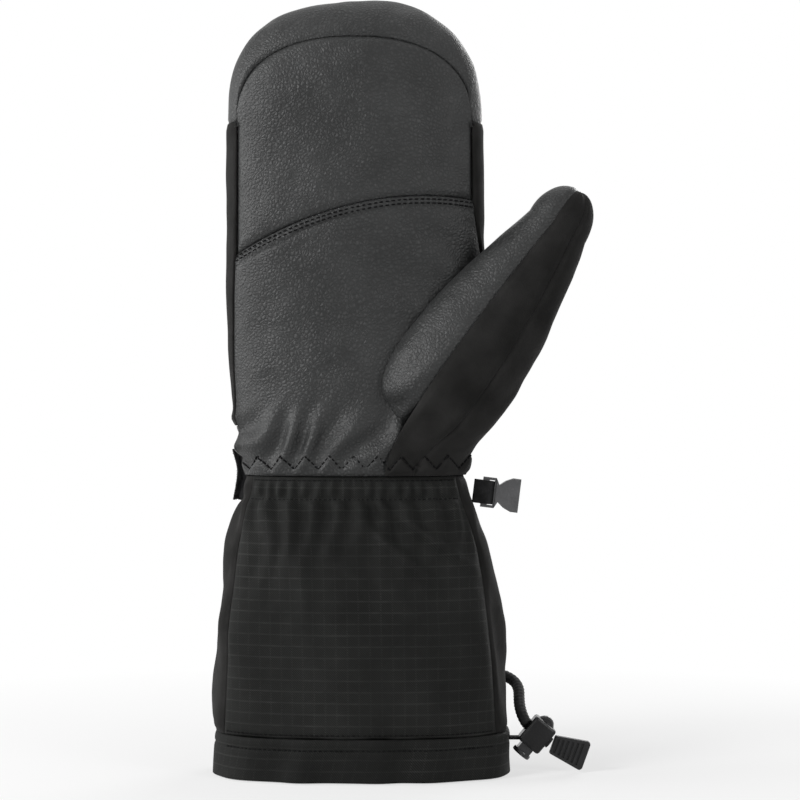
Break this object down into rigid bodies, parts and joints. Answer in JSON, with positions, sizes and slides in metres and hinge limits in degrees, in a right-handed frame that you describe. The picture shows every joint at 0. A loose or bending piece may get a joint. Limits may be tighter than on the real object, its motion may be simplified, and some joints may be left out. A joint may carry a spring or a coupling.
{
  "type": "ski mitten",
  "caption": "Right-hand insulated ski mitten with leather palm, gauntlet cuff, wrist strap, side clip and a drawcord hem with a sprung cord lock.",
  "frame": {"origin": "middle of the mitten's box, at the level of the cuff hem it stands on", "axes": "+Z from the cuff to the fingertips, -Y out of the palm, +X to the thumb side"},
  "size_m": [0.163, 0.0758, 0.33],
  "materials": {
    "leather": "grained goat leather, charcoal",
    "softshell": "matte black softshell",
    "twill": "charcoal ripstop twill",
    "fill": "white polyester batting",
    "membrane": "waterproof film",
    "lining": "black brushed fleece",
    "elastic": "woven elastic",
    "cord": "black braided cord",
    "webbing": "black woven webbing",
    "loop": "black loop pile",
    "hook": "black hook tape",
    "eyelet": "black eyelet",
    "plastic": "satin black",
    "grey_plastic": "grey button",
    "steel": "spring steel",
    "rubber": "ribbed black rubber"
  },
  "bodies": {
    "mitten": {"palm_lower_panel": "leather", "palm_upper_panel": "leather", "fingertip_cap": "leather", "thumb_inner_panel": "leather", "pinky_side_gusset": "softshell", "index_side_gusset": "softshell", "back_hand_panel": "softshell", "thumb_outer_panel": "softshell", "thumb_front_panel": "softshell", "gauntlet_back_panel": "softshell", "gauntlet_front_panel": "twill", "hem_band": "twill", "palm_insulation": "fill", "back_insulation": "fill", "thumb_insulation": "fill", "cuff_insulation": "fill", "hand_membrane": "membrane", "thumb_membrane": "membrane", "palm_lining": "lining", "back_lining": "lining", "thumb_palm_lining": "lining", "thumb_back_lining": "lining", "cuff_lining": "lining", "wrist_elastic": "elastic", "cinch_cord": "cord", "drawcord": "cord", "cord_tail": "cord", "clip_webbing": "webbing", "lock_anchor_loop": "webbing", "loop_patch": "loop", "cord_eyelet": "eyelet", "cord_lock_body": "plastic", "cord_lock_spring": "steel", "pull_tab": "rubber"},
    "strap": {"wrist_strap": "webbing", "hook_tape": "hook"},
    "clip": {"clip_buckle": "plastic"},
    "plunger": {"cord_lock_plunger": "grey_plastic"}
  },
  "joints": [
    {"name": "strap_peel", "type": "hinge", "parent": "mitten", "child": "strap", "pos_m": [0.01455, 0.02552, 0.127], "axis": [0, 0, -1], "range_deg": [0, 100]},
    {"name": "clip_swing", "type": "hinge", "parent": "mitten", "child": "clip", "pos_m": [0.03585, 0.00058, 0.1195], "axis": [0.1219, 0, 0.9925], "range_deg": [-45, 45]},
    {"name": "lock_press", "type": "slide", "parent": "mitten", "child": "plunger", "axis": [0.6428, 0, 0.766], "range_m": [0, 0.0024], "stiffness_N_per_m": 1200, "springref_m": -0.002, "deforming": ["cord_lock_spring"]}
  ]
}
